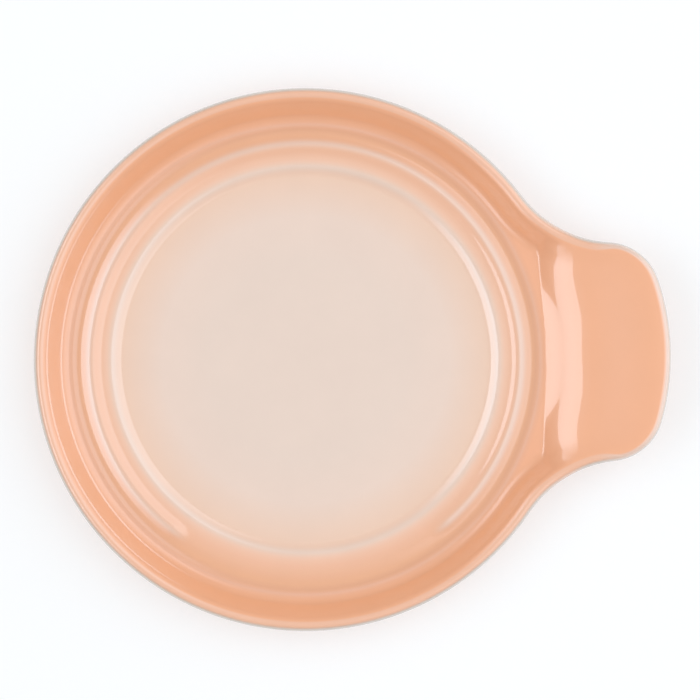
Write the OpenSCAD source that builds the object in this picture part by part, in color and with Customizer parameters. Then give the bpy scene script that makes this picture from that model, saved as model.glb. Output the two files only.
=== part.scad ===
// Spoon rest: a round stoneware dish with concentric rings, and a broad tongue for the spoon's handle.
// Millimetres. It stands on z = 0 with +Z up, and +X runs along the tongue.

/* [Dish] */
// Diameter over the rim
dish_d = 130; // [118:1:150]
// Depth of the well, from the rim to the floor
well_h = 5.8; // [5:0.1:10]
// Thickness of the floor over the foot's recess
floor_t = 4.9; // [4:0.1:6]
// Width of the rim's top, from the outer edge to the head of the wall
rim_w = 2.6; // [2.2:0.1:4]
// Width of the sloping wall, seen from above
wall_w = 5.9; // [4:0.1:7]
// Part of the wall's rise that is straight, where the rest curves upwards
wall_lean = 0.95; // [0.3:0.05:1]
// Part of the wall's width over which its foot is rounded
wall_fillet = 0.4; // [0.05:0.05:0.6]
// Thickness of the rim and the tongue
edge_t = 4.6; // [3.5:0.1:5.5]
// How far the rounding of the edge reaches in
edge_round = 1.4; // [1:0.1:2]
// Height of the rounding between the wall and the top of the rim
rim_blend = 1.2; // [0.3:0.1:2]
// Height of the hollow under the rim and the tongue
under_blend = 1.2; // [0.5:0.1:2]

/* [Rings] */
// Width of the step up from the floor
step_w = 2.8; // [1.8:0.1:3.4]
// Height of the step up from the floor
step_h = 0.75; // [0.3:0.05:1]
// Width of the flat between the step and the bead
tread_w = 1.9; // [1:0.1:3]
// Width of the raised bead's inner flank
bead_in_w = 2.6; // [1.5:0.1:3.5]
// Width of the raised bead's outer flank
bead_out_w = 3; // [1.5:0.1:4]
// Height of the raised bead above the flat inside it
bead_h = 0.5; // [0.2:0.05:0.8]
// Opening in the bead, on the near side
bead_gap = 68; // [30:1:120]
// Run of the bead's tapered ends
bead_taper = 6; // [4:1:12]
// Width of the groove outside the bead
groove_w = 0.2; // [0.1:0.1:1]
// How far the groove lies below the flat inside the bead
groove_h = 0.2; // [0.1:0.05:0.5]
// Width of the outermost ring's riser
ring_w = 1.7; // [0.8:0.1:2.5]
// Height of the outermost ring above the groove
ring_h = 0.2; // [0.1:0.05:0.6]
// Width of the ledge between the outermost ring and the wall
ledge_w = 0.3; // [0.1:0.1:1]

/* [Tongue] */
// How far the tongue stands out from the dish
tongue_l = 22.4; // [19:0.2:30]
// Width of the tongue between the corners' outer sides
tongue_w = 52.4; // [44:0.2:58]
// Radius of the tongue's corners
corner_r = 13.1; // [10:0.1:16]
// Radius of the tongue's end
end_r = 56.8; // [48:0.2:70]
// Radius of the hollow between the tongue and the dish
neck_r = 28.5; // [20:0.5:36]
// Height of the tongue's end above the rim
tip_rise = 2; // [0.5:0.1:4]
// How far the ramp up to the tongue starts outside the wall's foot
ramp_in = 0.7; // [0.2:0.1:1.5]
// Run of the ramp from the well up to the tongue, on the tongue's middle line
ramp_w = 11.8; // [9:0.1:15]
// Part of that run by which the ramp is shorter at the tongue's sides
ramp_short = 0.2; // [0:0.01:0.35]
// Part of the run over which the ramp gets steeper, on the middle line
ramp_knee = 0.34; // [0.1:0.01:0.5]
// Part of the run over which the ramp gets steeper, at the sides
ramp_fillet = 0.04; // [0.02:0.01:0.1]
// Slope at the ramp's foot on the middle line, as a part of its steepest slope
ramp_lean = 0.4; // [0.1:0.05:0.9]
// How straight the ramp runs across the tongue: 0 follows the dish, 1 is square to the tongue
ramp_straight = 0.85; // [0:0.05:1]
// Bearing from the middle line at which the ramp has its side form
ramp_turn = 22; // [14:1:30]
// Depth of the tongue's hollow below its edge, at the ramp's head on the middle line
channel_h = 1.35; // [0.5:0.05:2.5]
// Part of that depth by which the hollow is shallower at the sides
side_lift = 0.35; // [0:0.05:0.6]
// Run over which the wall of the dish turns into the hollow's curved sides
side_run = 18; // [8:1:24]
// How far a spoke reaches beyond the dish where it lies fully in the tongue
open_w = 7.5; // [4:0.5:10]

/* [Foot] */
// Outer diameter of the foot ring where it stands
foot_d = 88; // [76:1:92]
// Width of the foot ring where it stands
foot_w = 3.6; // [2.5:0.1:6]
// Height of the foot ring, from the table to the glaze
foot_h = 1.8; // [1:0.1:2.2]
// Slope of the foot ring's sides, measured across
foot_slope = 1.2; // [0.5:0.1:2]

/* [Glaze] */
// Thickness of the glaze
glaze_t = 0.5; // [0.3:0.05:0.7]

/* [Hidden] */

// How sharply the outside turns up from the foot
bowl_turn = 4;
// Lengths along a spoke, from the wall's foot out to the edge and from the edge in to the foot
top_steps = [0.06, 0.13, 0.2, 0.28, 0.37, 0.48, 0.62, 0.76, 0.88, 1];
under_steps = [0.14, 0.28, 0.42, 0.56, 0.78, 1];
// Angles round the edge, from its upper side to its lower side
edge_turns = [45, 0, -45, -90];
// Pieces in each arc of the half outline: end, corner, neck, flank and back
arc_cuts = [4, 7, 6, 10, 15];

dish_r = dish_d / 2;
tongue_reach = dish_r + tongue_l;
dish_x = -tongue_l / 2;

// Heights above the table
floor_h = foot_h + floor_t;
ledge_h = floor_h + step_h - groove_h + ring_h;
rim_h = floor_h + well_h;
tip_h = rim_h + tip_rise;

// Radii of the rings, from the rim inwards
wall_r = dish_r - rim_w - wall_w;
ring_r = wall_r - ledge_w;
groove_r = ring_r - ring_w;
bead_out_r = groove_r - groove_w;
bead_r = bead_out_r - bead_out_w;
bead_in_r = bead_r - bead_in_w;
step_r = bead_in_r - tread_w;
floor_r = step_r - step_w;

// Radii of the foot ring, from the outside inwards
foot_r = foot_d / 2;
line_r = foot_r + foot_slope;
foot_in_r = foot_r - foot_w;
base_r = foot_in_r - foot_slope;

// Centres of the tongue's arcs, seen from the middle of the dish, each tangent to the next
end_c = [tongue_reach - end_r, 0];
corner_y = tongue_w / 2 - corner_r;
corner_c = [end_c.x + sqrt(pow(end_r - corner_r, 2) - corner_y * corner_y), corner_y];
corner_away = norm(corner_c);
neck_far = dish_r + neck_r;
neck_near = corner_r + neck_r;
neck_along = (pow(neck_far, 2) - pow(neck_near, 2) + pow(corner_away, 2)) / (2 * corner_away);
neck_across = sqrt(neck_far * neck_far - neck_along * neck_along);
neck_c = [corner_c.x * neck_along - corner_c.y * neck_across,
          corner_c.y * neck_along + corner_c.x * neck_across] / corner_away;

end_a = bearing(corner_c - end_c);
neck_a = bearing(neck_c - corner_c);
flank_a = bearing(neck_c);

function bearing(v) = atan2(v.y, v.x);
function heading(a) = [cos(a), sin(a)];
function eased(t) = let (u = min(max(t, 0), 1)) u * u * (3 - 2 * u);
function lower_of(a, b, k) = min(a, b) - pow(max(k - abs(a - b), 0), 2) / (4 * k);

// One arc of the outline: points paired with the outward heading, the last point left to the next arc
function arc(c, r, from, to, cuts, side) =
    [for (i = [0:cuts - 1])
        let (a = from + (to - from) * i / cuts)
        [c + r * heading(a), side * heading(a)]];

half_outline = concat(
    arc(end_c, end_r, 0, end_a, arc_cuts[0], 1),
    arc(corner_c, corner_r, end_a, neck_a, arc_cuts[1], 1),
    arc(neck_c, neck_r, neck_a + 180, flank_a + 180, arc_cuts[2], -1),
    arc([0, 0], dish_r, flank_a, 90, arc_cuts[3], 1),
    arc([0, 0], dish_r, 90, 180, arc_cuts[4], 1));
half_n = len(half_outline);
outline = concat(
    half_outline,
    [[[-dish_r, 0], [-1, 0]]],
    [for (i = [half_n - 1:-1:1]) [for (v = half_outline[i]) [v.x, -v.y]]]);
spokes = len(outline);

function gap_to(p, a, b) =
    let (ab = b - a, t = min(max((p - a) * ab / (ab * ab), 0), 1)) norm(p - a - t * ab);
function edge_gap(p) =
    min([for (i = [0:spokes - 1]) gap_to(p, outline[i][0], outline[(i + 1) % spokes][0])]);

// Heights of the rim and the tongue's edge, and of the rings in the well
function climb(r) = eased((r - dish_r) / (tongue_reach - edge_round - dish_r));
function lip_z(r) = rim_h + (tip_h - rim_h) * climb(r);
function bead_z(r) = bead_h * (1 - eased(max((bead_r - r) / bead_in_w, (r - bead_r) / bead_out_w)));
function bead_share(a) = eased((abs((a + 270) % 360 - 180) - bead_gap / 2) / bead_taper);
function ring_z(r, a) =
    floor_h + step_h * eased((r - floor_r) / step_w) + bead_z(r) * bead_share(a)
    - groove_h * eased((r - bead_r) / bead_out_w) + ring_h * eased((r - groove_r) / ring_w);

// How far a spoke opens into the tongue, how far it lies to the side, and how deep the hollow is there
function opening(s) = eased((norm(s[0]) - dish_r) / open_w);
function aside(s) = pow(eased(abs(bearing(s[0])) / ramp_turn), 2);
function hollow(s) = channel_h * (1 - side_lift * aside(s));

// Part of the ramp's height that is reached after a part of its run, and the part run at a point
function ramp_share(t, s) =
    let (knee = ramp_knee * (1 - aside(s)) + ramp_fillet,
         lean = ramp_lean + (1 - ramp_lean) * aside(s),
         steep = 2 / (1 + lean * knee))
    t < knee ? steep * (lean * t + (1 - lean) * t * t / (2 * knee))
             : 1 - steep * pow(1 - t, 2) / (2 * (1 - knee));
function ramp_run(p, s) =
    let (r = norm(p), out = r + ramp_straight * (p.x - r) - wall_r - ramp_in)
    min(max(out / (ramp_w * (1 - ramp_short * aside(s))), 0), 1);

// The wall: a straight rise with a rounded foot, then with a rounded head under the rim
function filleted(x) =
    (x < wall_fillet ? x * x / (2 * wall_fillet) : x - wall_fillet / 2) / (1 - wall_fillet / 2);
function rise(gap, lean) =
    let (x = filleted(max(rim_w + wall_w - gap, 0) / wall_w))
    lower_of(1, x * (lean + (1 - lean) * x), rim_blend / (rim_h - ledge_h));

// Heights of the glazed surface on top and below, where the underside has a smooth ramp of its own
function skin_z(p, s, share) =
    let (r = norm(p),
         ramp = (rim_h - hollow(s) - ledge_h) * share * opening(s),
         trough = ledge_h + ramp + lip_z(r) - rim_h + hollow(s) * climb(r),
         lean = wall_lean * (1 - eased((r - wall_r) / side_run) * opening(s)))
    trough + (lip_z(r) - trough) * rise(edge_gap(p), lean);
function top_z(p, s) = skin_z(p, s, ramp_share(ramp_run(p, s), s));
function back_z(p, s) = skin_z(p, s, eased(ramp_run(p, s))) - edge_t;
function bowl_z(r) =
    foot_h + (rim_h - foot_h) * pow(max(r - line_r, 0) / (dish_r - line_r), bowl_turn);
function under_z(p, s) = lower_of(bowl_z(norm(p)), back_z(p, s), under_blend);

// Rows of points round the dish, each sunk by some depth below the glazed surface
function at(p, z) = [p.x + dish_x, p.y, z];
function level_row(r, z) = [for (s = outline) at(r * heading(bearing(s[0])), z)];
function ring_row(r, sunk) =
    [for (s = outline) let (a = bearing(s[0])) at(r * heading(a), ring_z(r, a) - sunk)];
function edge_top(s) = s[0] - edge_round * s[1];
function along(s, r, t) = r * heading(bearing(s[0])) * (1 - t) + edge_top(s) * t;

function top_point(s, t) = let (p = along(s, wall_r, t)) [p.x, p.y, top_z(p, s)];
function under_point(s, t) = let (p = along(s, line_r, 1 - t)) [p.x, p.y, under_z(p, s)];

tops = [for (t = top_steps) [for (s = outline) top_point(s, t)]];
unders = [for (t = under_steps) [for (s = outline) under_point(s, t)]];
edges = [for (s = outline) let (p = edge_top(s)) [top_z(p, s), under_z(p, s)]];

function spread_row(row, sunk) = [for (p = row) at(p, p.z - sunk)];
function edge_row(turn, sunk) =
    [for (i = [0:spokes - 1])
        let (s = outline[i],
             mid = (edges[i][0] + edges[i][1]) / 2,
             half = (edges[i][0] - edges[i][1]) / 2)
        at(edge_top(s) + (edge_round - sunk) * cos(turn) * s[1], mid + (half - sunk) * sin(turn))];

ring_radii = [floor_r, floor_r + step_w / 2, step_r,
              bead_in_r, (bead_in_r + bead_r) / 2, bead_r, (bead_r + bead_out_r) / 2, bead_out_r,
              groove_r, groove_r + ring_w / 2, ring_r, wall_r];

// The glazed surface from the well's edge, over the rim and down to the line above the foot
function jacket_rows(sunk) = concat(
    [for (r = ring_radii) ring_row(r, sunk)],
    [for (row = tops) spread_row(row, sunk)],
    [for (turn = edge_turns) edge_row(turn, sunk)],
    [for (row = unders) spread_row(row, -sunk)]);

foot_rows = [level_row(foot_r, 0), level_row(foot_in_r, 0), level_row(base_r, foot_h + glaze_t)];

function flat(rows) = [for (row = rows) each row];
function turned(faces) = [for (f = faces) [f[2], f[1], f[0]]];
function strip(a, b) =
    [for (i = [0:spokes - 1])
        let (j = (i + 1) % spokes, near = a * spokes, far = b * spokes)
        each [[near + i, far + i, far + j], [near + i, far + j, near + j]]];
function fan(row, hub) =
    [for (i = [0:spokes - 1]) [hub, row * spokes + i, row * spokes + (i + 1) % spokes]];

// A layer between two surfaces whose rows match
module layer(outer, inner) {
    n = len(outer);
    polyhedron(
        flat(concat(outer, inner)),
        concat([for (k = [0:n - 2]) each turned(strip(k, k + 1))],
               [for (k = [0:n - 2]) each strip(n + k, n + k + 1)],
               strip(0, n),
               turned(strip(n - 1, 2 * n - 1))));
}

// A disc of glaze whose edge follows the spokes
module glaze_disc(r, low) {
    translate([dish_x, 0, low])
    linear_extrude(glaze_t)
    polygon([for (s = outline) r * heading(bearing(s[0]))]);
}

module stoneware_body() {
    rows = concat(jacket_rows(glaze_t), foot_rows);
    last = len(rows) - 1;
    hub = len(rows) * spokes;
    color([0.86, 0.80, 0.72])
    polyhedron(
        concat(flat(rows), [at([0, 0], floor_h - glaze_t), at([0, 0], foot_h + glaze_t)]),
        concat(turned(fan(0, hub)),
               [for (k = [0:last - 1]) each turned(strip(k, k + 1))],
               fan(last, hub + 1)));
}

module colour_glaze() {
    color([0.94, 0.70, 0.57])
    layer(jacket_rows(0), jacket_rows(glaze_t));
}

module well_glaze() {
    color([0.91, 0.84, 0.79])
    glaze_disc(floor_r, floor_h - glaze_t);
}

module base_glaze() {
    color([0.93, 0.68, 0.55])
    glaze_disc(base_r, foot_h);
}

stoneware_body();
colour_glaze();
well_glaze();
base_glaze();
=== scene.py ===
"""Looks of a glazed stoneware spoon rest: a ringed dish with a broad tongue, on a white table."""

import math

import bpy
import numpy as np
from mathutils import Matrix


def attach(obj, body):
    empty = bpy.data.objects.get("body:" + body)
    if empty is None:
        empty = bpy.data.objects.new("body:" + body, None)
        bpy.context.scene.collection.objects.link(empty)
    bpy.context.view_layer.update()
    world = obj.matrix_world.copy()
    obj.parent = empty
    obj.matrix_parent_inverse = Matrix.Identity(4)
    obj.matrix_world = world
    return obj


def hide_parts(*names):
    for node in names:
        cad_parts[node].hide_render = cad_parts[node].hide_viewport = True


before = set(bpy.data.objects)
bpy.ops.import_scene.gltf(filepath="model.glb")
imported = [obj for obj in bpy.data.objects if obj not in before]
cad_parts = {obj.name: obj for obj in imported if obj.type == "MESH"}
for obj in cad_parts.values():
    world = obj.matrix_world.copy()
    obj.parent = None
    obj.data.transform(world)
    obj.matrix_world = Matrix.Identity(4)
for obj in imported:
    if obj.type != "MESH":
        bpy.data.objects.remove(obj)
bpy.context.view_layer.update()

MM = 0.001

# Sizes of the solids, as in part.scad: lengths in millimetres, bearings in degrees, the rest plain numbers

# Dish
DISH_R = 65.0
WELL_H = 5.8
FLOOR_T = 4.9
RIM_W = 2.6
WALL_W = 5.9
WALL_LEAN = 0.95
WALL_FILLET = 0.4
EDGE_T = 4.6
EDGE_ROUND = 1.4
RIM_BLEND = 1.2
UNDER_BLEND = 1.2

# Rings, from the floor outward
STEP_W = 2.8
STEP_H = 0.75
TREAD_W = 1.9
BEAD_IN_W = 2.6
BEAD_OUT_W = 3.0
BEAD_H = 0.5
BEAD_GAP = 68.0
BEAD_TAPER = 6.0
GROOVE_W = 0.2
GROOVE_H = 0.2
RING_W = 1.7
RING_H = 0.2
LEDGE_W = 0.3

# Tongue
TONGUE_L = 22.4
TONGUE_W = 52.4
CORNER_R = 13.1
END_R = 56.8
NECK_R = 28.5
TIP_RISE = 2.0
RAMP_IN = 0.7
RAMP_W = 11.8
RAMP_SHORT = 0.2
RAMP_KNEE = 0.34
RAMP_FILLET = 0.04
RAMP_LEAN = 0.4
RAMP_STRAIGHT = 0.85
RAMP_TURN = 22.0
CHANNEL_H = 1.35
SIDE_LIFT = 0.35
SIDE_RUN = 18.0
OPEN_W = 7.5

# Foot and glaze
FOOT_R = 44.0
FOOT_W = 3.6
FOOT_H = 1.8
FOOT_SLOPE = 1.2
BOWL_TURN = 4
GLAZE_T = 0.5

# Places and heights that follow from the sizes
TONGUE_REACH = DISH_R + TONGUE_L
DISH_X = -TONGUE_L / 2
FLOOR_H = FOOT_H + FLOOR_T
LEDGE_H = FLOOR_H + STEP_H - GROOVE_H + RING_H
RIM_H = FLOOR_H + WELL_H
TIP_H = RIM_H + TIP_RISE

WALL_R = DISH_R - RIM_W - WALL_W
RING_R = WALL_R - LEDGE_W
GROOVE_R = RING_R - RING_W
BEAD_OUT_R = GROOVE_R - GROOVE_W
BEAD_R = BEAD_OUT_R - BEAD_OUT_W
BEAD_IN_R = BEAD_R - BEAD_IN_W
STEP_R = BEAD_IN_R - TREAD_W
FLOOR_R = STEP_R - STEP_W

LINE_R = FOOT_R + FOOT_SLOPE
FOOT_IN_R = FOOT_R - FOOT_W
BASE_R = FOOT_IN_R - FOOT_SLOPE

# Pieces in each arc of the half outline
END_CUTS = 16
CORNER_CUTS = 26
NECK_CUTS = 24
FLANK_CUTS = 50
BACK_CUTS = 76

# Cuts along a spoke: across the rings, up to the edge, round it, and back to the foot
FACE_CUTS = (88, 80, 12, 16)
CLAY_CUTS = (16, 16, 4, 8)
SHARP_ANGLE = math.radians(50)


def arc(centre, radius, start, stop, cuts, side):
    """Points and outward headings along an arc, without its last point."""
    turns = start + (stop - start) * np.arange(cuts) / cuts
    heading = np.stack([np.cos(turns), np.sin(turns)], 1)
    return centre + radius * heading, side * heading


def bearing(v):
    return math.atan2(v[1], v[0])


def trace_outline():
    """Points and outward headings all round the rim and the tongue, from the tongue's tip."""
    end_c = np.array([TONGUE_REACH - END_R, 0.0])
    corner_y = TONGUE_W / 2 - CORNER_R
    corner_c = np.array([end_c[0] + math.sqrt((END_R - CORNER_R) ** 2 - corner_y**2), corner_y])

    # The neck's circle touches the dish and the corner from outside
    away = np.linalg.norm(corner_c)
    far, near = DISH_R + NECK_R, CORNER_R + NECK_R
    along = (far**2 - near**2 + away**2) / (2 * away)
    across = math.sqrt(far**2 - along**2)
    ahead = corner_c / away
    neck_c = ahead * along + np.array([-ahead[1], ahead[0]]) * across

    end_a = bearing(corner_c - end_c)
    neck_a = bearing(neck_c - corner_c)
    flank_a = bearing(neck_c)
    dish_c = np.zeros(2)
    arcs = [
        arc(end_c, END_R, 0, end_a, END_CUTS, 1),
        arc(corner_c, CORNER_R, end_a, neck_a, CORNER_CUTS, 1),
        arc(neck_c, NECK_R, neck_a + math.pi, flank_a + math.pi, NECK_CUTS, -1),
        arc(dish_c, DISH_R, flank_a, math.pi / 2, FLANK_CUTS, 1),
        arc(dish_c, DISH_R, math.pi / 2, math.pi, BACK_CUTS, 1),
    ]
    points = np.concatenate([a[0] for a in arcs])
    headings = np.concatenate([a[1] for a in arcs])
    flip = np.array([1.0, -1.0])
    points = np.concatenate([points, [[-DISH_R, 0.0]], points[:0:-1] * flip])
    headings = np.concatenate([headings, [[-1.0, 0.0]], headings[:0:-1] * flip])
    return points, headings


OUTLINE, OUTWARD = trace_outline()
SPOKES = len(OUTLINE)
BEARINGS = np.arctan2(OUTLINE[:, 1], OUTLINE[:, 0])
SPOKE_DIRS = np.stack([np.cos(BEARINGS), np.sin(BEARINGS)], 1)
EDGE_TOP = OUTLINE - EDGE_ROUND * OUTWARD


def eased(t):
    """A share that rises gently from 0 and settles gently at 1."""
    u = np.clip(t, 0.0, 1.0)
    return u * u * (3 - 2 * u)


def between(a, b, share):
    return a + (b - a) * share


def lower_of(a, b, k):
    """The lower of two heights, rounded where they cross."""
    return np.minimum(a, b) - np.maximum(k - np.abs(a - b), 0) ** 2 / (4 * k)


# How far each spoke opens into the tongue, how far it lies to the tongue's side, and the hollow there
OPENING = eased((np.linalg.norm(OUTLINE, axis=1) - DISH_R) / OPEN_W)
ASIDE = eased(np.abs(np.degrees(BEARINGS)) / RAMP_TURN) ** 2
HOLLOW = CHANNEL_H * (1 - SIDE_LIFT * ASIDE)


def edge_gap(p):
    """Distance of each point from the outline."""
    a = OUTLINE
    ab = np.roll(OUTLINE, -1, 0) - a
    ap = p[:, None, :] - a[None]
    t = np.clip((ap * ab).sum(2) / (ab * ab).sum(1), 0, 1)
    return np.linalg.norm(ap - t[..., None] * ab, axis=2).min(1)


def climb(r):
    """How much of the tongue's rise above the rim is reached at a radius."""
    return eased((r - DISH_R) / (TONGUE_REACH - EDGE_ROUND - DISH_R))


def lip_z(r):
    return between(RIM_H, TIP_H, climb(r))


def bead_share(a):
    """How much of the bead stands at a bearing, none in its opening on the near side."""
    from_near = np.abs((np.degrees(a) + 270) % 360 - 180)
    return eased((from_near - BEAD_GAP / 2) / BEAD_TAPER)


def ring_z(r, a):
    """Height of the rings at a radius and a bearing."""
    bead = BEAD_H * (1 - eased(max((BEAD_R - r) / BEAD_IN_W, (r - BEAD_R) / BEAD_OUT_W)))
    step = STEP_H * eased((r - FLOOR_R) / STEP_W)
    drop = GROOVE_H * eased((r - BEAD_R) / BEAD_OUT_W)
    ring = RING_H * eased((r - GROOVE_R) / RING_W)
    return FLOOR_H + step - drop + ring + bead * bead_share(a)


def ramp_share(t):
    """How much of the ramp's height is reached after a share of its run, on each spoke."""
    knee = RAMP_KNEE * (1 - ASIDE) + RAMP_FILLET
    lean = between(RAMP_LEAN, 1, ASIDE)
    steep = 2 / (1 + lean * knee)
    below = steep * (lean * t + (1 - lean) * t**2 / (2 * knee))
    above = 1 - steep * (1 - t) ** 2 / (2 * (1 - knee))
    return np.where(t < knee, below, above)


def ramp_run(p):
    """Share of the ramp's run that lies behind one point on each spoke."""
    r = np.linalg.norm(p, axis=1)
    out = between(r, p[:, 0], RAMP_STRAIGHT) - WALL_R - RAMP_IN
    return np.clip(out / (RAMP_W * (1 - RAMP_SHORT * ASIDE)), 0, 1)


def filleted(x):
    """A straight rise with a rounded foot."""
    low = x**2 / (2 * WALL_FILLET)
    return np.where(x < WALL_FILLET, low, x - WALL_FILLET / 2) / (1 - WALL_FILLET / 2)


def skin_z(p, share):
    """Height over one point on each spoke, with a share of the ramp's height reached there."""
    r = np.linalg.norm(p, axis=1)
    ramp = (RIM_H - HOLLOW - LEDGE_H) * share * OPENING
    trough = LEDGE_H + ramp + lip_z(r) - RIM_H + HOLLOW * climb(r)
    lean = WALL_LEAN * (1 - eased((r - WALL_R) / SIDE_RUN) * OPENING)
    x = filleted(np.maximum(RIM_W + WALL_W - edge_gap(p), 0) / WALL_W)
    rise = lower_of(1, x * between(lean, 1, x), RIM_BLEND / (RIM_H - LEDGE_H))
    return between(trough, lip_z(r), rise)


def top_z(p):
    return skin_z(p, ramp_share(ramp_run(p)))


def under_z(p):
    """Height of the underside below one point on each spoke."""
    r = np.linalg.norm(p, axis=1)
    turn_up = (np.maximum(r - LINE_R, 0) / (DISH_R - LINE_R)) ** BOWL_TURN
    bowl = between(FOOT_H, RIM_H, turn_up)
    return lower_of(bowl, skin_z(p, eased(ramp_run(p))) - EDGE_T, UNDER_BLEND)


def row(p, z):
    """Points in the part's frame, from points about the dish's middle and their heights."""
    return np.column_stack([p[:, 0] + DISH_X, p[:, 1], np.broadcast_to(z, len(p))])


def circle_row(r, z):
    return row(r * SPOKE_DIRS, z)


def jacket_rows(sunk, ring_cuts, top_cuts, edge_cuts, under_cuts):
    """Rows from the well's edge over the rim to the line above the foot, sunk by a depth."""
    rows = []
    for r in np.linspace(FLOOR_R, WALL_R, ring_cuts + 1):
        rows.append(circle_row(r, ring_z(r, BEARINGS) - sunk))
    for t in np.linspace(0, 1, top_cuts + 1)[1:]:
        p = WALL_R * SPOKE_DIRS * (1 - t) + EDGE_TOP * t
        rows.append(row(p, top_z(p) - sunk))
    high, low = top_z(EDGE_TOP), under_z(EDGE_TOP)
    for turn in np.linspace(math.pi / 2, -math.pi / 2, edge_cuts + 1)[1:]:
        p = EDGE_TOP + (EDGE_ROUND - sunk) * math.cos(turn) * OUTWARD
        rows.append(row(p, (high + low) / 2 + ((high - low) / 2 - sunk) * math.sin(turn)))
    for t in np.linspace(0, 1, under_cuts + 1)[1:]:
        p = EDGE_TOP * (1 - t) + LINE_R * SPOKE_DIRS * t
        rows.append(row(p, under_z(p) + sunk))
    return np.array(rows)


# Where on its climb the tongue starts to count as its tip, and over how much of the climb
TIP_FROM = 0.3
TIP_RUN = 0.5

# Share of the glaze that is missing along the edge, and how far in from it, on the rim and the tip
RIM_THIN = 0.22
TIP_THIN = 0.65
RIM_THIN_W = 2.6
TIP_THIN_W = 1.6
THIN_FADE = 0.5

# Pale lines on the rings: radius, reach to both sides and share of the glaze that is missing
STEP_LINE = (STEP_R - 0.5, 1.0, 0.45)
BEAD_LINE = (BEAD_R + 0.6, 0.85, 0.45)
RING_LINE = (RING_R + 0.2, 0.45, 0.1)

# The grey line on the edge, worn glaze with painted shade: width and fade, how far the necks are spared,
# and its end below the middle
RIM_WORN_AND_SHADE_W = 1.05
TIP_WORN_AND_SHADE_W = 0.55
RIM_WORN_AND_SHADE_FADE = 0.7
TIP_WORN_AND_SHADE_FADE = 0.4
NECK_SPARED = 0.65
WORN_AND_SHADE_END = 0.25


def pale_line(r, middle, reach, share):
    return share * np.exp(-(((r - middle) / reach) ** 2))


def glaze_shares(rows):
    """How far the glaze is thinned at each point, on the rim and the rings, and how far the edge is worn
    and darkened by painted shade.
    """
    points = rows.reshape(-1, 3)
    p = points[:, :2] - [DISH_X, 0]
    r = np.linalg.norm(p, axis=1)
    gap = np.concatenate([edge_gap(q) for q in np.array_split(p, len(rows))])
    tip = eased((climb(r) - TIP_FROM) / TIP_RUN)

    thin_w = between(RIM_THIN_W, TIP_THIN_W, tip)
    thin = between(RIM_THIN, TIP_THIN, tip) * eased((thin_w - gap) / THIN_FADE)
    bead = bead_share(np.arctan2(p[:, 1], p[:, 0]))
    lines = pale_line(r, *STEP_LINE) + pale_line(r, *BEAD_LINE) * bead + pale_line(r, *RING_LINE)
    thin += lines * (points[:, 2] > FLOOR_H)

    # The grey line on the edge: worn glaze, darkened with painted shade
    worn_and_shade_w = between(RIM_WORN_AND_SHADE_W, TIP_WORN_AND_SHADE_W, tip)
    worn_and_shade = eased((worn_and_shade_w - gap) / between(RIM_WORN_AND_SHADE_FADE, TIP_WORN_AND_SHADE_FADE, tip))
    in_neck = 4 * OPENING * (1 - OPENING)
    worn_and_shade *= 1 - NECK_SPARED * np.tile(in_neck, len(rows))
    above_middle = (rows[:, :, 2] - top_z(EDGE_TOP)).ravel() / EDGE_T + 0.5
    return thin, worn_and_shade * eased(1 + above_middle / WORN_AND_SHADE_END)


def strip(a, b):
    """Quads between two rows of points, given by the rows' numbers."""
    i = np.arange(SPOKES)
    j = np.roll(i, -1)
    return np.column_stack([a * SPOKES + i, a * SPOKES + j, b * SPOKES + j, b * SPOKES + i])


def caps(last_row):
    """Flat faces that close the first row upward and the last row downward."""
    loop = np.arange(SPOKES)
    return [loop.tolist(), (last_row * SPOKES + loop[::-1]).tolist()]


def make_piece(name, points, faces, material, node):
    mesh = bpy.data.meshes.new(name)
    mesh.from_pydata((points * MM).tolist(), [], faces)
    mesh.shade_smooth()
    mesh.set_sharp_from_angle(angle=SHARP_ANGLE)
    mesh.materials.append(material)
    piece = bpy.data.objects.new(name, mesh)
    bpy.context.scene.collection.objects.link(piece)
    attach(piece, "root")
    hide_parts(node)
    return piece


def make_jacket(inner, material):
    """The peach glaze, a closed layer: its face is cut finely, and the side against the clay plainly."""
    outer = jacket_rows(0.0, *FACE_CUTS)
    n_out, n_in = len(outer), len(inner)
    quads = [strip(k + 1, k) for k in range(n_out - 1)]
    quads += [strip(n_out + k, n_out + k + 1) for k in range(n_in - 1)]
    quads += [strip(0, n_out), strip(n_out + n_in - 1, n_out - 1)]
    points = np.concatenate([outer, inner]).reshape(-1, 3)
    faces = np.concatenate(quads).tolist()
    jacket = make_piece("glaze_jacket", points, faces, material, "colour_glaze")
    # Stored per point: the thinned glaze, and the worn edge with its painted shade
    for name, share in zip(("thin", "worn_and_shade"), glaze_shares(outer)):
        values = np.concatenate([share, np.zeros(n_in * SPOKES)]).astype(np.float32)
        jacket.data.attributes.new(name, "FLOAT", "POINT").data.foreach_set("value", values)


def make_well(material):
    """The cream glaze on the floor of the well."""
    rows = np.concatenate([circle_row(FLOOR_R, FLOOR_H), circle_row(FLOOR_R, FLOOR_H - GLAZE_T)])
    make_piece("glaze_well", rows, caps(1) + strip(1, 0).tolist(), material, "well_glaze")


def make_clay(inner, material):
    """The clay body, which shows only at the foot."""
    foot = [circle_row(FOOT_R, 0.0), circle_row(FOOT_IN_R, 0.0), circle_row(BASE_R, FOOT_H + GLAZE_T)]
    rows = np.concatenate([inner, foot])
    last = len(rows) - 1
    faces = np.concatenate([strip(k + 1, k) for k in range(last)]).tolist() + caps(last)
    make_piece("clay_body", rows.reshape(-1, 3), faces, material, "stoneware_body")


def linear(r, g, b):
    """A colour given as screen values from 0 to 255."""
    return [((c / 255 + 0.055) / 1.055) ** 2.4 for c in (r, g, b)] + [1.0]


MATH = "ShaderNodeMath"
VECTOR_MATH = "ShaderNodeVectorMath"

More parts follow.
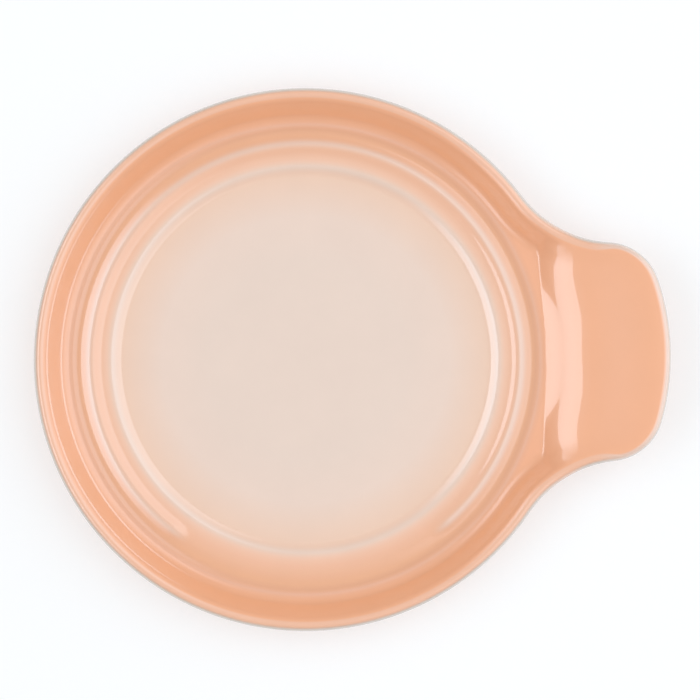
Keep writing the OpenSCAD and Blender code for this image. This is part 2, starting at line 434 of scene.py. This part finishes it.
# Numbers of a Mix node's sockets when it mixes colours
MIX_FACTOR, MIX_A, MIX_B, MIX_RESULT = 0, 6, 7, 2


def plug(tree, socket, value):
    """Links another node's output to a socket, or sets the socket to a plain value."""
    if isinstance(value, bpy.types.NodeSocket):
        tree.links.new(value, socket)
    else:
        socket.default_value = value


def plug_all(tree, node, sockets):
    for name, value in sockets.items():
        plug(tree, node.inputs[name], value)


def add(tree, kind, **sockets):
    node = tree.nodes.new(kind)
    plug_all(tree, node, sockets)
    return node


def calc(tree, kind, operation, *values):
    node = tree.nodes.new(kind)
    node.operation = operation
    for socket, value in zip(node.inputs, values):
        plug(tree, socket, value)
    return node


def map_range(tree, value, low, high):
    """Turns a value from 0 to 1 into one from low to high."""
    node = tree.nodes.new("ShaderNodeMapRange")
    plug_all(tree, node, {"Value": value, "To Min": low, "To Max": high})
    return node.outputs["Result"]


def ramp_node(tree, factor, stops):
    node = add(tree, "ShaderNodeValToRGB", Fac=factor)
    ramp = node.color_ramp
    ramp.elements[0].position, ramp.elements[0].color = stops[0]
    ramp.elements[1].position, ramp.elements[1].color = stops[-1]
    for place, colour in stops[1:-1]:
        ramp.elements.new(place).color = colour
    return node.outputs["Color"]


def mix_node(tree, mode, factor, a, b):
    node = tree.nodes.new("ShaderNodeMix")
    node.data_type = "RGBA"
    node.blend_type = mode
    for number, value in ((MIX_FACTOR, factor), (MIX_A, a), (MIX_B, b)):
        plug(tree, node.inputs[number], value)
    return node.outputs[MIX_RESULT]


def attribute(tree, name):
    node = tree.nodes.new("ShaderNodeAttribute")
    node.attribute_name = name
    return node.outputs["Fac"]


def new_material(name):
    """A material, its node tree and its shader."""
    material = bpy.data.materials.new(name)
    material.use_nodes = True
    return material, material.node_tree, material.node_tree.nodes["Principled BSDF"]


PEACH = linear(248, 173, 127)
CREAM = linear(235, 208, 190)
PALE = linear(229, 211, 198)
# Grey of the worn edge, darkened with painted shade where the edge turns down
WORN_AND_SHADE = linear(204, 188, 173)

# The glaze's colours from the middle of the well outward, each at its radius
GLAZE_FADE = [
    (24.0, CREAM),
    (34.5, linear(238, 208, 189)),
    (43.4, linear(241, 200, 173)),
    (47.6, linear(245, 192, 160)),
    (49.8, linear(243, 181, 144)),
    (54.0, linear(238, 170, 125)),
    (55.3, linear(230, 161, 118)),
    (56.4, linear(238, 168, 128)),
    (58.0, PEACH),
]
FADE_SPAN = 70.0
UNDERSIDE_H = FLOOR_H - 2 * GLAZE_T
GLAZE_GLOSS = {
    "Roughness": 0.3,
    "IOR": 1.6,
    "Coat Weight": 1.0,
    "Coat IOR": 1.75,
    "Coat Roughness": 0.04,
}

# Tones of the bare clay, from its dark grains to its palest
CLAY_TONES = [
    (0.3, linear(176, 150, 120)),
    (0.5, linear(221, 203, 178)),
    (0.75, linear(233, 219, 198)),
]


def fade_place(tree, spot):
    """How far out a spot lies on the glaze's fade. The underside lies at the far end."""
    centred = calc(tree, VECTOR_MATH, "SUBTRACT", spot, (DISH_X * MM, 0, 0))
    flat = calc(tree, VECTOR_MATH, "MULTIPLY", centred.outputs["Vector"], (1, 1, 0))
    radius = calc(tree, VECTOR_MATH, "LENGTH", flat.outputs["Vector"])
    share = calc(tree, MATH, "DIVIDE", radius.outputs["Value"], FADE_SPAN * MM)
    parts = add(tree, "ShaderNodeSeparateXYZ", Vector=spot)
    underside = calc(tree, MATH, "LESS_THAN", parts.outputs["Z"], UNDERSIDE_H * MM)
    return calc(tree, MATH, "MAXIMUM", share.outputs[0], underside.outputs[0]).outputs[0]


def glaze_material(name):
    """Gloss glaze, lightly mottled, that runs from cream to peach, is pale where thin, and is grey along
    the edge where worn, with painted shade there.
    """
    material, tree, shader = new_material(name)
    spot = tree.nodes.new("ShaderNodeTexCoord").outputs["Object"]
    fade = ramp_node(tree, fade_place(tree, spot), [(r / FADE_SPAN, c) for r, c in GLAZE_FADE])
    mottle = add(tree, "ShaderNodeTexNoise", Vector=spot, Scale=90.0, Detail=4.0, Roughness=0.6)
    colour = mix_node(tree, "MIX", attribute(tree, "thin"), fade, PALE)
    # The edge line: worn glaze, greyed and darkened with painted shade
    colour = mix_node(tree, "MIX", attribute(tree, "worn_and_shade"), colour, WORN_AND_SHADE)
    colour = mix_node(tree, "MULTIPLY", 1.0, colour, map_range(tree, mottle.outputs["Fac"], 0.97, 1.03))
    peel = add(tree, "ShaderNodeTexNoise", Vector=spot, Scale=260.0, Detail=2.0)
    bump = add(tree, "ShaderNodeBump", Strength=0.04, Distance=0.0004, Height=peel.outputs["Fac"])
    normal = bump.outputs["Normal"]
    plug_all(tree, shader, GLAZE_GLOSS)
    plug_all(tree, shader, {"Base Color": colour, "Normal": normal, "Coat Normal": normal})
    return material


def clay_material():
    """Bare fired clay with fine dark grains, as on the wiped foot."""
    material, tree, shader = new_material("bare_clay")
    spot = tree.nodes.new("ShaderNodeTexCoord").outputs["Object"]
    grain = add(tree, "ShaderNodeTexNoise", Vector=spot, Scale=900.0, Detail=5.0, Roughness=0.7)
    colour = ramp_node(tree, grain.outputs["Fac"], CLAY_TONES)
    bump = add(tree, "ShaderNodeBump", Strength=0.3, Distance=0.0002, Height=grain.outputs["Fac"])
    plug_all(tree, shader, {"Base Color": colour, "Roughness": 0.85, "Normal": bump.outputs["Normal"]})
    return material


# The table and the lights: lengths in metres
TABLE_HALF = 4.0
TABLE_WHITE = (0.98, 0.975, 0.965, 1)
TABLE_GLOW = 0.52
LIGHT_COLOUR = (0.86, 1.0, 1.13)
SIDE_FADE = 0.42
HORIZON_LEVEL = 0.38
ZENITH_LEVEL = 0.72


def table_material():
    """White paint that glows in part where the picture or a reflection sees it, and keeps the shadow."""
    material, tree, paint = new_material("table_white")
    plug_all(tree, paint, {"Base Color": TABLE_WHITE, "Roughness": 0.9, "Specular IOR Level": 0.0})
    glow = add(tree, "ShaderNodeEmission", Strength=1.0)
    path = tree.nodes.new("ShaderNodeLightPath")
    seen = path.outputs["Is Camera Ray"]
    for ray in ("Is Glossy Ray", "Is Transmission Ray"):
        seen = calc(tree, MATH, "MAXIMUM", seen, path.outputs[ray]).outputs[0]
    part = calc(tree, MATH, "MULTIPLY", seen, TABLE_GLOW)
    blend = tree.nodes.new("ShaderNodeMixShader")
    for socket, source in zip(blend.inputs, (part, paint, glow)):
        plug(tree, socket, source.outputs[0])
    plug(tree, tree.nodes["Material Output"].inputs["Surface"], blend.outputs[0])
    return material


def make_table():
    corners = [(x * TABLE_HALF, y * TABLE_HALF, 0) for x, y in ((-1, -1), (1, -1), (1, 1), (-1, 1))]
    mesh = bpy.data.meshes.new("table")
    mesh.from_pydata(corners, [], [(0, 1, 2, 3)])
    mesh.materials.append(table_material())
    floor = bpy.data.objects.new("table", mesh)
    bpy.context.scene.collection.objects.link(floor)


def faded(tree, along, reach):
    """Strength that rises smoothly from none at both ends of a panel, over a part of its length."""
    from_end = calc(tree, MATH, "PINGPONG", along, 0.5)
    soft = tree.nodes.new("ShaderNodeMapRange")
    soft.interpolation_type = "SMOOTHSTEP"
    plug_all(tree, soft, {"Value": from_end.outputs[0], "From Max": reach})
    return soft.outputs["Result"]


def add_panel(name, middle, width, height, lean, strength, upright_fade):
    """A panel that stands beside the dish, may lean over it, and fades out to all sides."""
    light = bpy.data.lights.new(name, "AREA")
    light.shape = "RECTANGLE"
    light.size = width
    light.size_y = height
    light.color = LIGHT_COLOUR
    light.energy = strength * math.pi * width * height
    light.use_nodes = True
    tree = light.node_tree
    across = tree.nodes.new("ShaderNodeNewGeometry")
    parts = add(tree, "ShaderNodeSeparateXYZ", Vector=across.outputs["Parametric"])
    sideways = faded(tree, parts.outputs["X"], SIDE_FADE)
    upright = faded(tree, parts.outputs["Y"], upright_fade)
    both = calc(tree, MATH, "MULTIPLY", sideways, upright)
    plug(tree, tree.nodes["Emission"].inputs["Strength"], both.outputs[0])
    panel = bpy.data.objects.new(name, light)
    panel.location = middle
    panel.rotation_euler = (math.radians(90 - lean), 0, math.copysign(math.pi / 2, middle[0]))
    bpy.context.scene.collection.objects.link(panel)


def make_world():
    """Plain white light from all round, stronger from above."""
    world = bpy.data.worlds.new("studio")
    bpy.context.scene.world = world
    world.use_nodes = True
    tree = world.node_tree
    toward = tree.nodes.new("ShaderNodeTexCoord")
    parts = add(tree, "ShaderNodeSeparateXYZ", Vector=toward.outputs["Generated"])
    level = map_range(tree, parts.outputs["Z"], HORIZON_LEVEL, ZENITH_LEVEL)
    plug_all(tree, tree.nodes["Background"], {"Color": (1, 1, 1, 1), "Strength": level})


# The picture in pixels: its width, and the dish's radius and middle. The camera's height is in metres
PICTURE_W = 700
DISH_PIXELS = 271.6
DISH_PIXEL = (305.3, 359.6)
CAMERA_Z = 1.2
TURN = math.radians(1.5)
SENSOR_W = 36.0


def make_camera():
    """Looks straight down, with the tongue turned a little anticlockwise in the picture."""
    scale = DISH_R / DISH_PIXELS
    aside = (PICTURE_W / 2 - DISH_PIXEL[0]) * scale
    ahead = (DISH_PIXEL[1] - PICTURE_W / 2) * scale
    edge_z = RIM_H - EDGE_T / 2
    data = bpy.data.cameras.new("camera")
    data.sensor_width = SENSOR_W
    data.lens = SENSOR_W * (CAMERA_Z - edge_z * MM) / (PICTURE_W * scale * MM)
    camera = bpy.data.objects.new("camera", data)
    camera.location = (
        (DISH_X + aside * math.cos(TURN) + ahead * math.sin(TURN)) * MM,
        (-aside * math.sin(TURN) + ahead * math.cos(TURN)) * MM,
        CAMERA_Z)
    camera.rotation_euler = (0, 0, -TURN)
    bpy.context.scene.collection.objects.link(camera)
    bpy.context.scene.camera = camera


colour_glaze = glaze_material("colour_glaze")
well_glaze = glaze_material("well_glaze")
bare_clay = clay_material()

clay_face = jacket_rows(GLAZE_T, *CLAY_CUTS)
make_jacket(clay_face, colour_glaze)
make_well(well_glaze)
make_clay(clay_face, bare_clay)

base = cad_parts["base_glaze"]
base.data.materials.clear()
base.data.materials.append(colour_glaze)

make_table()
add_panel(
    "left_panel", middle=(-0.7, 0, 1.035), width=2.1, height=1.03,
    lean=0, strength=1.9, upright_fade=0.03)
add_panel(
    "right_panel", middle=(0.5, 0.1, 1.0), width=2.0, height=1.8,
    lean=27, strength=1.0, upright_fade=0.25)
add_panel(
    "low_panel", middle=(0.72, 0.3, 0.15), width=2.6, height=0.29,
    lean=0, strength=2.6, upright_fade=0.5)
make_world()
make_camera()
bpy.context.scene.view_settings.view_transform = "Standard"
